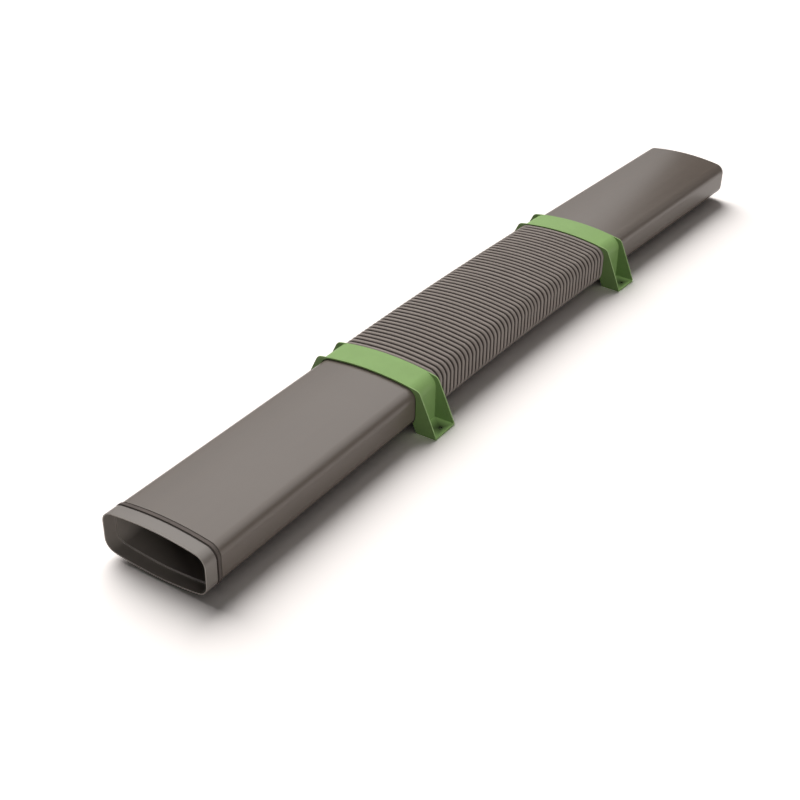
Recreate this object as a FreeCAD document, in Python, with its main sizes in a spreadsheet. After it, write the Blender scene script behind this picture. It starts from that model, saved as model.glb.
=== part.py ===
import FreeCAD, Part
import Sketcher
import math
import os

# Flat channel duct: two rigid lengths joined by a corrugated flexible length, held by two
# screw-down saddle brackets, with a socket collar and a rubber seal at the near end.
# Millimetres, +Z up. The duct runs along X, its near end at the low end, and its far half
# turns by bend_angle towards -Y. The origin is on the floor below the middle of the part.

SIZES = [
    ("duct_width", 222),
    ("duct_height", 95),
    ("crown_rise", 10.5),
    ("corner_radius", 23),
    ("duct_wall", 2.5),
    ("front_length", 627),
    ("rear_length", 636),
    ("floor_gap", 6.5),
    ("bend_angle", 3.2),
    ("fit_clearance", 0.25),
    ("collar_depth", 27),
    ("collar_step", 1.2),
    ("collar_wall", 2.2),
    ("collar_shoulder", 1.2),
    ("spigot_length", 40),
    ("spigot_wall", 1.8),
    ("seal_width", 13),
    ("seal_rise", 1.8),
    ("seal_ridge_width", 7.5),
    ("rib_count", 50),
    ("rib_pitch", 14.112),
    ("rib_height", 4),
    ("hose_wall", 1.5),
    ("cuff_length", 62),
    ("cuff_overlap", 52),
    ("strap_width", 69),
    ("strap_wall", 3),
    ("strap_setback", 0.5),
    ("foot_span", 321),
    ("foot_wall", 3.5),
    ("foot_inner_span", 232),
    ("saddle_lip_span", 214),
    ("saddle_lip_height", 20),
    ("gusset_wall", 2.5),
    ("gusset_shoulder_radius", 14),
    ("gusset_shoulder_span", 220),
    ("gusset_flank_radius", 1500),
    ("screw_hole", 7),
    ("screw_inset", 14.5),
    ("screw_offset", 5),
]

document = FreeCAD.newDocument("FlatChannelDuct")
sheet = document.addObject("Spreadsheet::Sheet", "Sizes")
for row, (alias, value) in enumerate(SIZES, start=1):
    sheet.set(f"A{row}", alias)
    sheet.set(f"B{row}", str(value))
    sheet.setAlias(f"B{row}", alias)
document.recompute()


def size(formula):
    """The value of a formula on the sheet's sizes."""
    return float(probe.evalExpression(formula))


probe = document.addObject("App::FeaturePython", "Probe")

# Places that several pieces share, as formulas on the sheet's sizes.
AXIS_HEIGHT = "(Sizes.floor_gap + Sizes.duct_height / 2)"
CROWN_RADIUS = "(((Sizes.duct_width / 2) ^ 2 + Sizes.crown_rise ^ 2) / (2 * Sizes.crown_rise))"
CROWN_DROP = f"({CROWN_RADIUS} - Sizes.duct_height / 2)"
CORNER_SIDE = "(Sizes.duct_width / 2 - Sizes.corner_radius)"
SPIGOT_FACE = "(-Sizes.duct_wall - Sizes.fit_clearance)"
CUFF_BORE = "Sizes.fit_clearance"
CUFF_FACE = "(Sizes.fit_clearance + Sizes.hose_wall)"
SADDLE_FACE = "(2 * Sizes.fit_clearance + Sizes.hose_wall)"
STRAP_FACE = f"({SADDLE_FACE} + Sizes.strap_wall)"
HOSE_LENGTH = "(Sizes.rib_count * Sizes.rib_pitch)"

# Stations along the duct's centre line, from the collar's lip.
FRONT_START = "(Sizes.collar_depth + Sizes.seal_width)"
RIBS_START = f"({FRONT_START} + Sizes.front_length - Sizes.cuff_overlap + Sizes.cuff_length)"
RIBS_END = f"({RIBS_START} + {HOSE_LENGTH})"
REAR_START = f"({RIBS_END} + Sizes.cuff_length - Sizes.cuff_overlap)"
STRAP_REACH = "(Sizes.strap_setback + Sizes.strap_width / 2)"


def station(distance):
    """The placement of the duct's cross-section at a distance along its centre line."""
    start = size(RIBS_START)
    length = size(HOSE_LENGTH)
    turn = math.radians(size("Sizes.bend_angle"))
    along = min(max(distance - start, 0), length)
    beyond = distance - start - along
    angle = turn * along / length
    if angle:
        radius = length / turn
        middle = FreeCAD.Vector(radius * math.sin(angle), radius * (math.cos(angle) - 1), 0)
    else:
        middle = FreeCAD.Vector(along, 0, 0)
    heading = FreeCAD.Rotation(FreeCAD.Vector(0, 0, 1), -math.degrees(angle))
    base = FreeCAD.Vector(start, 0, 0) + middle + heading.multVec(FreeCAD.Vector(beyond, 0, 0))
    return FreeCAD.Placement(base, heading)


def origin_plane(body, role):
    """One of the body's own origin planes."""
    return next(plane for plane in body.Origin.OriginFeatures if plane.Role == role)


def new_body(name):
    """An empty body whose label names its file."""
    body = document.addObject("PartDesign::Body", name)
    body.Label = name
    return body


def new_sketch(body, name, role="YZ_Plane", offset=None):
    """A sketch on one of the body's planes, moved along the plane's normal by a formula."""
    sketch = body.newObject("Sketcher::SketchObject", name)
    sketch.AttachmentSupport = [(origin_plane(body, role), "")]
    sketch.MapMode = "FlatFace"
    if offset:
        sketch.setExpression("AttachmentOffset.Base.z", offset)
    document.recompute()
    return sketch


def add_loop(sketch, edges):
    """A closed loop of edges, each with a flag that says whether it runs smoothly into the next."""
    first = sketch.GeometryCount
    for edge, _ in edges:
        sketch.addGeometry(edge, False)
    for index, (_, smooth) in enumerate(edges):
        following = (index + 1) % len(edges)
        join = "Tangent" if smooth else "Coincident"
        sketch.addConstraint(Sketcher.Constraint(join, first + index, 2, first + following, 1))
    return first


def set_size(sketch, name, formula, kind, *elements):
    """A dimension of the sketch that follows a formula."""
    index = sketch.addConstraint(Sketcher.Constraint(kind, *elements, size(formula)))
    sketch.renameConstraint(index, name)
    sketch.setExpression(f"Constraints.{name}", formula)


def point(across, height):
    """A point of a cross-section sketch."""
    return FreeCAD.Vector(across, height, 0)


def mirrored(place):
    """The same point on the other side of the middle."""
    return point(-place.x, place.y)


def arc(centre, radius, start, end):
    """An arc from one angle to another, anticlockwise, with the angles in radians."""
    circle = Part.Circle(centre, FreeCAD.Vector(0, 0, 1), radius)
    return Part.ArcOfCircle(circle, start, end)


def channel_numbers(growth):
    """The centres, radii and turning angle of the crowned channel profile grown by a distance."""
    axis = size(AXIS_HEIGHT)
    crown = size(CROWN_RADIUS)
    drop = size(CROWN_DROP)
    side = size(CORNER_SIDE)
    corner = size("Sizes.corner_radius")
    lift = math.sqrt((crown - corner) ** 2 - side ** 2)
    return {
        "axis": axis,
        "crown": crown + growth,
        "corner": corner + growth,
        "side": side,
        "drop": drop,
        "turn": math.atan2(lift, side),
        "corner_height": lift - drop,
    }


def channel_edges(growth):
    """The eight edges of the crowned channel profile, anticlockwise from the right side."""
    n = channel_numbers(growth)
    high = n["axis"] + n["corner_height"]
    low = n["axis"] - n["corner_height"]
    reach = n["side"] + n["corner"]
    turn = n["turn"]
    return [
        Part.LineSegment(point(reach, low), point(reach, high)),
        arc(point(n["side"], high), n["corner"], 0, turn),
        arc(point(0, n["axis"] - n["drop"]), n["crown"], turn, math.pi - turn),
        arc(point(-n["side"], high), n["corner"], math.pi - turn, math.pi),
        Part.LineSegment(point(-reach, high), point(-reach, low)),
        arc(point(-n["side"], low), n["corner"], math.pi, math.pi + turn),
        arc(point(0, n["axis"] + n["drop"]), n["crown"], math.pi + turn, 2 * math.pi - turn),
        arc(point(n["side"], low), n["corner"], 2 * math.pi - turn, 2 * math.pi),
    ]


def channel_sketch(body, name, growth, offset=None):
    """The crowned channel profile, grown by a formula, as a fully sized sketch."""
    sketch = new_sketch(body, name, offset=offset)
    add_loop(sketch, [(edge, True) for edge in channel_edges(size(growth))])
    right, corner, top, left, bottom = 0, 1, 2, 4, 6
    for line in (right, left):
        sketch.addConstraint(Sketcher.Constraint("Vertical", line))
    for crown in (top, bottom):
        sketch.addConstraint(Sketcher.Constraint("PointOnObject", crown, 3, -2))
    sketch.addConstraint(Sketcher.Constraint("Equal", top, bottom))
    for other in (3, 5, 7):
        sketch.addConstraint(Sketcher.Constraint("Equal", corner, other))
    set_size(sketch, "crown", f"{CROWN_RADIUS} + {growth}", "Radius", top)
    set_size(sketch, "corner", f"Sizes.corner_radius + {growth}", "Radius", corner)
    set_size(sketch, "half", f"Sizes.duct_width / 2 + {growth}", "DistanceX", -1, 1, right, 1)
    set_size(sketch, "other_half", f"Sizes.duct_width / 2 + {growth}", "DistanceX", left, 1, -1, 1)
    set_size(sketch, "top_centre", f"{CROWN_DROP} - {AXIS_HEIGHT}", "DistanceY", top, 3, -1, 1)
    set_size(sketch, "low_centre", f"{CROWN_DROP} + {AXIS_HEIGHT}", "DistanceY", -1, 1, bottom, 3)
    return sketch


def add_pad(body, sketch, name, length, midplane=False):
    """Material along the sketch's normal."""
    pad = body.newObject("PartDesign::Pad", name)
    pad.Profile = sketch
    pad.setExpression("Length", length)
    pad.Midplane = midplane
    document.recompute()
    return pad


def add_pocket(body, sketch, name, length=None, midplane=False):
    """A cut along the sketch's normal, right through where no length is given."""
    before = body.Shape.Volume
    pocket = body.newObject("PartDesign::Pocket", name)
    pocket.Profile = sketch
    pocket.Midplane = midplane
    pocket.Reversed = True
    if length:
        pocket.setExpression("Length", length)
    else:
        pocket.Type = "ThroughAll"
    document.recompute()
    if not body.Shape.Volume < before:
        raise RuntimeError(f"{name} cuts nothing")
    return pocket


def add_mirror(body, features, name, role):
    """The features repeated on the other side of one of the body's planes."""
    mirror = body.newObject("PartDesign::Mirrored", name)
    mirror.Originals = features
    mirror.MirrorPlane = (origin_plane(body, role), [""])
    body.Tip = mirror
    document.recompute()
    return mirror


def make_duct(name, length):
    """A rigid length of the crowned channel, open at both ends."""
    body = new_body(name)
    add_pad(body, channel_sketch(body, "OuterFace", "0"), "Wall", length)
    add_pocket(body, channel_sketch(body, "InnerFace", "-Sizes.duct_wall"), "Bore")
    return body


def make_collar():
    """The moulded end: an open socket, a step inside it and a spigot that enters the duct."""
    body = new_body("socket_collar")
    add_pad(body, channel_sketch(body, "SocketFace", "Sizes.collar_step"), "Socket", "Sizes.collar_depth")
    spigot = channel_sketch(body, "SpigotFace", SPIGOT_FACE)
    add_pad(body, spigot, "Spigot", f"{FRONT_START} + Sizes.spigot_length")
    lip = channel_sketch(body, "SocketBore", "Sizes.collar_step - Sizes.collar_wall")
    add_pocket(body, lip, "SocketOpening", "Sizes.collar_depth - Sizes.collar_shoulder")
    add_pocket(body, channel_sketch(body, "SpigotBore", f"{SPIGOT_FACE} - Sizes.spigot_wall"), "SpigotOpening")
    return body


def make_seal():
    """The rubber ring between collar and duct, with a raised ridge round its middle."""
    body = new_body("seal_ring")
    add_pad(body, channel_sketch(body, "RingFace", "0"), "Ring", "Sizes.seal_width")
    ridge = channel_sketch(body, "RidgeFace", "Sizes.seal_rise", "(Sizes.seal_width - Sizes.seal_ridge_width) / 2")
    add_pad(body, ridge, "Ridge", "Sizes.seal_ridge_width")
    add_pocket(body, channel_sketch(body, "RingBore", f"{SPIGOT_FACE} + Sizes.fit_clearance"), "Bore")
    return body


def channel_wire(growth, distance, start):
    """The channel profile as a wire across the centre line, seen from the station it starts at."""
    wire = Part.Wire([edge.toShape() for edge in channel_edges(growth)])
    upright = FreeCAD.Placement(FreeCAD.Vector(), FreeCAD.Rotation(FreeCAD.Vector(1, 1, 1), 120))
    wire.Placement = start.inverse() * station(distance) * upright
    return wire


def make_hose():
    """The flexible length: ribs along a gentle bend, with a smooth cuff over each duct's end."""
    start_at = size(RIBS_START) - size("Sizes.cuff_length")
    start = station(start_at)
    ribs_start = size(RIBS_START)
    ribs_end = size(RIBS_END)
    pitch = size("Sizes.rib_pitch")
    cuff = size("Sizes.cuff_length")
    cuff_face = size(CUFF_FACE)
    root = cuff_face - size("Sizes.hose_wall")
    crest = root + size("Sizes.rib_height")
    overlap = size("Sizes.cuff_overlap")

    def tube(stops):
        wires = [channel_wire(growth, distance, start) for distance, growth in stops]
        return Part.makeLoft(wires, True, True)

    waves = [(ribs_start, root)]
    for rib in range(int(size("Sizes.rib_count"))):
        crest_at = ribs_start + (rib + 0.5) * pitch
        waves.append((crest_at, crest))
        waves.append((crest_at + pitch / 2, root))
    front_cuff = tube([(start_at, cuff_face), (ribs_start, cuff_face)])
    rear_cuff = tube([(ribs_end, cuff_face), (ribs_end + cuff, cuff_face)])
    outside = front_cuff.fuse([tube(waves), rear_cuff])
    bore = size(f"{CUFF_BORE} - Sizes.hose_wall")
    bends = 4
    stops = [(start_at, bore)]
    stops += [(ribs_start + (ribs_end - ribs_start) * step / bends, bore) for step in range(bends + 1)]
    stops += [(ribs_end + cuff, bore)]
    sockets = [(start_at, start_at + overlap), (ribs_end + cuff - overlap, ribs_end + cuff)]
    hollows = [tube([(low, size(CUFF_BORE)), (high, size(CUFF_BORE))]) for low, high in sockets]
    hose = document.addObject("Part::Feature", "flexible_duct")
    hose.Label = "flexible_duct"
    hose.Shape = outside.cut([tube(stops), *hollows])
    return hose


def make_bracket(name):
    """A moulded saddle: an arch over the joint, a flared plate at each edge and screw-down feet."""
    body = new_body(name)
    n = channel_numbers(size(STRAP_FACE))
    reach = n["side"] + n["corner"]
    high = n["axis"] + n["corner_height"]
    crown_centre = point(0, n["axis"] - n["drop"])
    turn = n["turn"]

    arch = new_sketch(body, "ArchOutline")
    add_loop(arch, [
        (Part.LineSegment(point(reach, 0), point(reach, high)), True),
        (arc(point(n["side"], high), n["corner"], 0, turn), True),
        (arc(crown_centre, n["crown"], turn, math.pi - turn), True),
        (arc(point(-n["side"], high), n["corner"], math.pi - turn, math.pi), True),
        (Part.LineSegment(point(-reach, high), point(-reach, 0)), False),
        (Part.LineSegment(point(-reach, 0), point(reach, 0)), False),
    ])
    arch.addConstraint(Sketcher.Constraint("Vertical", 0))
    arch.addConstraint(Sketcher.Constraint("Vertical", 4))
    arch.addConstraint(Sketcher.Constraint("PointOnObject", 0, 1, -1))
    arch.addConstraint(Sketcher.Constraint("PointOnObject", 4, 2, -1))
    arch.addConstraint(Sketcher.Constraint("PointOnObject", 2, 3, -2))
    arch.addConstraint(Sketcher.Constraint("Equal", 1, 3))
    set_size(arch, "crown", f"{CROWN_RADIUS} + {STRAP_FACE}", "Radius", 2)
    set_size(arch, "corner", f"Sizes.corner_radius + {STRAP_FACE}", "Radius", 1)
    set_size(arch, "half", f"Sizes.duct_width / 2 + {STRAP_FACE}", "DistanceX", -1, 1, 0, 1)
    set_size(arch, "other_half", f"Sizes.duct_width / 2 + {STRAP_FACE}", "DistanceX", 4, 2, -1, 1)
    set_size(arch, "top_centre", f"{CROWN_DROP} - {AXIS_HEIGHT}", "DistanceY", 2, 3, -1, 1)
    add_pad(body, arch, "Arch", "Sizes.strap_width", midplane=True)

    shoulder = size("Sizes.gusset_shoulder_radius")
    side = size("Sizes.gusset_shoulder_span") / 2
    lift = math.sqrt((n["crown"] - shoulder) ** 2 - side ** 2)
    shoulder_centre = point(side, crown_centre.y + lift)
    shoulder_turn = math.atan2(lift, side)
    flank = size("Sizes.gusset_flank_radius")
    tip = point(size("Sizes.foot_span / 2"), size("Sizes.foot_wall"))
    to_tip = tip - shoulder_centre
    spread = math.acos((flank ** 2 + to_tip.Length ** 2 - (flank - shoulder) ** 2) / (2 * flank * to_tip.Length))
    from_tip = math.atan2(-to_tip.y, -to_tip.x) + spread
    flank_centre = tip + FreeCAD.Vector(math.cos(from_tip), math.sin(from_tip), 0) * flank
    low = math.atan2(tip.y - flank_centre.y, tip.x - flank_centre.x)
    top = math.atan2(shoulder_centre.y - flank_centre.y, shoulder_centre.x - flank_centre.x)

    plate = new_sketch(body, "PlateOutline", offset="Sizes.strap_width / 2 - Sizes.gusset_wall")
    add_loop(plate, [
        (Part.LineSegment(point(tip.x, 0), tip), False),
        (arc(flank_centre, flank, low, top), True),
        (arc(shoulder_centre, shoulder, top, shoulder_turn), True),
        (arc(crown_centre, n["crown"], shoulder_turn, math.pi - shoulder_turn), True),
        (arc(mirrored(shoulder_centre), shoulder, math.pi - shoulder_turn, math.pi - top), True),
        (arc(mirrored(flank_centre), flank, math.pi - top, math.pi - low), False),
        (Part.LineSegment(mirrored(tip), point(-tip.x, 0)), False),
        (Part.LineSegment(point(-tip.x, 0), point(tip.x, 0)), False),
    ])
    plate.addConstraint(Sketcher.Constraint("Vertical", 0))
    plate.addConstraint(Sketcher.Constraint("Vertical", 6))
    plate.addConstraint(Sketcher.Constraint("PointOnObject", 0, 1, -1))
    plate.addConstraint(Sketcher.Constraint("PointOnObject", 6, 2, -1))
    plate.addConstraint(Sketcher.Constraint("PointOnObject", 3, 3, -2))
    plate.addConstraint(Sketcher.Constraint("Equal", 2, 4))
    plate.addConstraint(Sketcher.Constraint("Equal", 1, 5))
    plate.addConstraint(Sketcher.Constraint("Equal", 0, 6))
    set_size(plate, "crown", f"{CROWN_RADIUS} + {STRAP_FACE}", "Radius", 3)
    set_size(plate, "top_centre", f"{CROWN_DROP} - {AXIS_HEIGHT}", "DistanceY", 3, 3, -1, 1)
    set_size(plate, "shoulder", "Sizes.gusset_shoulder_radius", "Radius", 2)
    set_size(plate, "shoulder_side", "Sizes.gusset_shoulder_span / 2", "DistanceX", -1, 1, 2, 3)
    set_size(plate, "other_shoulder", "Sizes.gusset_shoulder_span / 2", "DistanceX", 4, 3, -1, 1)
    set_size(plate, "flank", "Sizes.gusset_flank_radius", "Radius", 1)
    set_size(plate, "foot", "Sizes.foot_span / 2", "DistanceX", -1, 1, 0, 1)
    set_size(plate, "other_foot", "Sizes.foot_span / 2", "DistanceX", 6, 2, -1, 1)
    set_size(plate, "edge", "Sizes.foot_wall", "DistanceY", 0, 1, 0, 2)
    end_plate = add_pad(body, plate, "EndPlate", "Sizes.gusset_wall")
    add_mirror(body, [end_plate], "EndPlates", "YZ_Plane")

    foot = new_sketch(body, "FootOutline")
    corners = [point(tip.x, 0), tip, mirrored(tip), point(-tip.x, 0)]
    add_loop(foot, [(Part.LineSegment(a, b), False) for a, b in zip(corners, corners[1:] + corners[:1])])
    for line in (0, 2):
        foot.addConstraint(Sketcher.Constraint("Vertical", line))
    foot.addConstraint(Sketcher.Constraint("Horizontal", 1))
    foot.addConstraint(Sketcher.Constraint("PointOnObject", 0, 1, -1))
    foot.addConstraint(Sketcher.Constraint("PointOnObject", 2, 2, -1))
    set_size(foot, "half", "Sizes.foot_span / 2", "DistanceX", -1, 1, 0, 1)
    set_size(foot, "other_half", "Sizes.foot_span / 2", "DistanceX", 2, 2, -1, 1)
    set_size(foot, "plate", "Sizes.foot_wall", "DistanceY", 0, 1, 0, 2)
    add_pad(body, foot, "Foot", "Sizes.strap_width", midplane=True)

    add_pocket(body, channel_sketch(body, "SaddleFace", SADDLE_FACE), "Saddle", midplane=True)

    opening = new_sketch(body, "OpeningOutline")
    low_half = size("Sizes.foot_inner_span / 2")
    high_half = size("Sizes.saddle_lip_span / 2")
    rise = size("Sizes.saddle_lip_height")
    corners = [point(-low_half, 0), point(low_half, 0), point(high_half, rise), point(-high_half, rise)]
    add_loop(opening, [(Part.LineSegment(a, b), False) for a, b in zip(corners, corners[1:] + corners[:1])])
    opening.addConstraint(Sketcher.Constraint("Horizontal", 2))
    opening.addConstraint(Sketcher.Constraint("PointOnObject", 0, 1, -1))
    opening.addConstraint(Sketcher.Constraint("PointOnObject", 0, 2, -1))
    set_size(opening, "low_half", "Sizes.foot_inner_span / 2", "DistanceX", -1, 1, 0, 2)
    set_size(opening, "other_low", "Sizes.foot_inner_span / 2", "DistanceX", 0, 1, -1, 1)
    set_size(opening, "high_half", "Sizes.saddle_lip_span / 2", "DistanceX", -1, 1, 2, 1)
    set_size(opening, "other_high", "Sizes.saddle_lip_span / 2", "DistanceX", 2, 2, -1, 1)
    set_size(opening, "rise", "Sizes.saddle_lip_height", "DistanceY", -1, 1, 2, 1)
    add_pocket(body, opening, "Opening", midplane=True)

    holes = new_sketch(body, "ScrewHoles", "XY_Plane")
    for side in (-1, 1):
        centre = point(size("Sizes.screw_offset"), side * size("Sizes.foot_span / 2 - Sizes.screw_inset"))
        circle = Part.Circle(centre, FreeCAD.Vector(0, 0, 1), size("Sizes.screw_hole / 2"))
        holes.addGeometry(circle, False)
    holes.addConstraint(Sketcher.Constraint("Equal", 0, 1))
    holes.addConstraint(Sketcher.Constraint("Vertical", 0, 3, 1, 3))
    set_size(holes, "offset", "Sizes.screw_offset", "DistanceX", -1, 1, 0, 3)
    set_size(holes, "hole", "Sizes.screw_hole", "Diameter", 0)
    set_size(holes, "right", "Sizes.foot_span / 2 - Sizes.screw_inset", "DistanceY", 0, 3, -1, 1)
    set_size(holes, "left", "Sizes.foot_span / 2 - Sizes.screw_inset", "DistanceY", -1, 1, 1, 3)
    add_pocket(body, holes, "ScrewWays", "2 * Sizes.foot_wall", midplane=True)
    return body


pieces = [
    (make_collar(), "0"),
    (make_seal(), "Sizes.collar_depth"),
    (make_duct("front_duct", "Sizes.front_length"), FRONT_START),
    (make_hose(), f"{RIBS_START} - Sizes.cuff_length"),
    (make_duct("rear_duct", "Sizes.rear_length"), REAR_START),
    (make_bracket("front_bracket"), f"{RIBS_START} - {STRAP_REACH}"),
    (make_bracket("rear_bracket"), f"{RIBS_END} + {STRAP_REACH}"),
]
for piece, distance in pieces:
    piece.Placement = station(size(distance))
document.recompute()

# The origin moves to the floor below the middle of the whole part.
box = Part.makeCompound([piece.Shape for piece, _ in pieces]).BoundBox
to_middle = FreeCAD.Placement(FreeCAD.Vector(-box.Center.x, -box.Center.y, 0), FreeCAD.Rotation())
for piece, _ in pieces:
    piece.Placement = to_middle * piece.Placement
document.recompute()

for item in document.Objects:
    if "Invalid" in item.State or "Error" in item.State:
        raise RuntimeError(f"{item.Name} failed: {item.State}")
for piece, _ in pieces:
    if piece.Shape.isNull() or not piece.Shape.isValid() or len(piece.Shape.Solids) != 1:
        raise RuntimeError(f"{piece.Label} isn't one sound solid")

os.makedirs("parts", exist_ok=True)
for piece, _ in pieces:
    piece.Shape.exportStep(f"parts/{piece.Label}.step")
    bounds = piece.Shape.BoundBox
    print(piece.Label, piece.Placement, round(piece.Shape.Volume), [round(v, 2) for v in (
        bounds.XMin, bounds.YMin, bounds.ZMin, bounds.XMax, bounds.YMax, bounds.ZMax)])
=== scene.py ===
import math
import random

import bmesh
import bpy
from bpy.props import FloatProperty, FloatVectorProperty, IntProperty, PointerProperty
from bpy.types import Operator, Panel, PropertyGroup
from mathutils import Matrix, Vector


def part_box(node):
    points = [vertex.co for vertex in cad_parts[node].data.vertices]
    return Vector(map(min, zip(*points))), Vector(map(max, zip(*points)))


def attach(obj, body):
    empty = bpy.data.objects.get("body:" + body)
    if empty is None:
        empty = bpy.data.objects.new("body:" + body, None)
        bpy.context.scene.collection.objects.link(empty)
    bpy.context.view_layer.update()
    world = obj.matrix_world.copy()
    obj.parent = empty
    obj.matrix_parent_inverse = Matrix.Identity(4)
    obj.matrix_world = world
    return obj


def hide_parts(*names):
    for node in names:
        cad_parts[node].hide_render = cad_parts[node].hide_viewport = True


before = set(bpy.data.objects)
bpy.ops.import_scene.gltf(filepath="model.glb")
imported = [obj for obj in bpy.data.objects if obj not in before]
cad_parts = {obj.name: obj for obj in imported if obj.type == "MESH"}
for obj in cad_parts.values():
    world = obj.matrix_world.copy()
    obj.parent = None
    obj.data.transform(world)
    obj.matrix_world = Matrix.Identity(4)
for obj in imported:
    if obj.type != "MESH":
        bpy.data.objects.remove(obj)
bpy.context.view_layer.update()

bl_info = {
    "name": "Flat Channel Duct",
    "version": (1, 0, 0),
    "blender": (4, 5, 0),
    "location": "3D View > Sidebar > Duct",
    "description": "Dresses a flat channel duct: rigid and flexible lengths, collar, seal and brackets",
    "category": "Add Mesh",
}

COLLAR_LOW, COLLAR_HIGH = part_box("socket_collar")
SEAL_LOW, SEAL_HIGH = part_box("seal_ring")
DUCT_LOW, DUCT_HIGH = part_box("front_duct")
SURFACE_MAP = "Surface"
# How deep in a groove each point lies, which sets the painted shade between the ribs.
GROOVE_MASK = "groove_depth"
# The edge mask: rubbed lighter on the duct ends, a painted highlight on the collar's lip and the brackets'
# rims, and the seal's ridge against the painted shade in its gaps.
WEAR_AND_LIGHT_MASK = "edge_wear"
# Marks the painted shade in the brackets' screw holes.
SHADE_MASK = "hole_shade"
# Lengths in metres, apart from the camera's sensor in millimetres.
FIT_CLEARANCE = 0.00025
WELD_DISTANCE = 5e-6
FLOOR_DROP = 0.0002
RELIEF_DEPTH = 0.0002
SENSOR_WIDTH = 36
# A cuff's edge is rounded by this share of its wall, and a screw hole's wall is looked for this
# many edge roundings outside the hole.
CUFF_ROUNDING = 0.4
HOLE_MARGIN = 1.2
# Bracket edges with a sharper turn than the first are rounded; those with less than the second go.
SHARP_ANGLE = math.radians(30)
FLAT_ANGLE = math.radians(0.5)
# The sockets of a Mix node: share, first and second, and the result.
MIX_COLOURS, MIXED_COLOUR = (0, 6, 7), 2
MIX_VALUES, MIXED_VALUE = (0, 2, 3), 0
# Where most of a noise lies, and the heights, as sines, between which each side of the studio brightens.
NOISE_RANGE = (0.3, 0.7)
PALE_WALL = (0.2, 0.7)
DARK_WALL = (0.3, 0.75)


class ChannelSizes(PropertyGroup):
    """The crowned channel profile and the line that it follows"""
    width: FloatProperty(
        name="Width", description="Outside width of the rigid duct",
        default=DUCT_HIGH.y - DUCT_LOW.y, min=0.1, unit="LENGTH")
    height: FloatProperty(
        name="Height", description="Outside height of the rigid duct at the middle of its crowns",
        default=DUCT_HIGH.z - DUCT_LOW.z, min=0.05, unit="LENGTH")
    crown_rise: FloatProperty(
        name="Crown rise", description="How far the top and the underside bulge over the full width",
        default=0.0105, min=0.001, unit="LENGTH")
    corner_radius: FloatProperty(
        name="Corner radius", description="Outside radius of the four corners",
        default=0.023, min=0.005, unit="LENGTH")
    wall: FloatProperty(
        name="Wall", description="Wall of the rigid duct", default=0.0025, min=0.001, unit="LENGTH")
    front_start: FloatProperty(
        name="Front start", description="Where the front duct starts behind the collar's lip",
        default=DUCT_LOW.x - COLLAR_LOW.x, unit="LENGTH")
    front_length: FloatProperty(
        name="Front length", description="Length of the front duct",
        default=DUCT_HIGH.x - DUCT_LOW.x, min=0.1, unit="LENGTH")
    rear_start: FloatProperty(
        name="Rear start", description="Where the rear duct starts along the centre line",
        default=1.3926, unit="LENGTH")
    rear_length: FloatProperty(
        name="Rear length", description="Length of the rear duct", default=0.636, min=0.1, unit="LENGTH")
    bend_start: FloatProperty(
        name="Bend start", description="Where the gentle bend of the flexible length starts",
        default=0.677, unit="LENGTH")
    bend_length: FloatProperty(
        name="Bend length", description="Length of the ribbed part, over which the line bends",
        default=0.7056, min=0.1, unit="LENGTH")
    bend_angle: FloatProperty(
        name="Bend angle", description="How far the rear duct turns towards the right",
        default=math.radians(3.2), subtype="ANGLE")
    cut_edge: FloatProperty(
        name="Cut edge", description="Rounding of the sawn duct ends", default=0.0004, unit="LENGTH")
    crown_steps: IntProperty(
        name="Crown steps", description="Mesh steps over one crown", default=18, min=6)
    corner_steps: IntProperty(
        name="Corner steps", description="Mesh steps round one corner", default=14, min=4)
    side_steps: IntProperty(
        name="Side steps", description="Mesh steps up one side", default=4, min=1)


class CollarSizes(PropertyGroup):
    """The moulded socket collar and the rubber seal behind it"""
    depth: FloatProperty(
        name="Collar depth", description="Outside depth of the collar",
        default=SEAL_LOW.x - COLLAR_LOW.x, unit="LENGTH")
    step: FloatProperty(
        name="Collar step", description="How far the collar stands proud of the duct",
        default=0.0012, unit="LENGTH")
    wall: FloatProperty(
        name="Collar wall", description="Wall of the socket", default=0.0022, unit="LENGTH")
    socket_depth: FloatProperty(
        name="Socket depth", description="Depth of the open socket", default=0.0258, unit="LENGTH")
    spigot_end: FloatProperty(
        name="Spigot end", description="Where the hidden spigot ends inside the duct",
        default=COLLAR_HIGH.x - COLLAR_LOW.x, unit="LENGTH")
    spigot_face: FloatProperty(
        name="Spigot face", description="How far the spigot's outside lies inside the duct's outside",
        default=0.00275, unit="LENGTH")
    spigot_wall: FloatProperty(
        name="Spigot wall", description="Wall of the spigot", default=0.0018, unit="LENGTH")
    lip_radius: FloatProperty(
        name="Lip radius", description="Rounding of the collar's moulded edges",
        default=0.0007, unit="LENGTH")
    seal_width: FloatProperty(
        name="Seal width", description="Width of the rubber ring",
        default=SEAL_HIGH.x - SEAL_LOW.x, unit="LENGTH")
    seal_rise: FloatProperty(
        name="Seal rise", description="How far the seal's ridge stands proud", default=0.0018, unit="LENGTH")
    seal_ridge: FloatProperty(
        name="Seal ridge", description="Width of the raised ridge", default=0.0065, unit="LENGTH")
    seal_gap: FloatProperty(
        name="Seal gap", description="Depth of the gap at each side of the ridge",
        default=0.0009, unit="LENGTH")
    seal_rounding: FloatProperty(
        name="Seal rounding", description="Rounding of the seal's edges", default=0.0009, unit="LENGTH")


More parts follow.
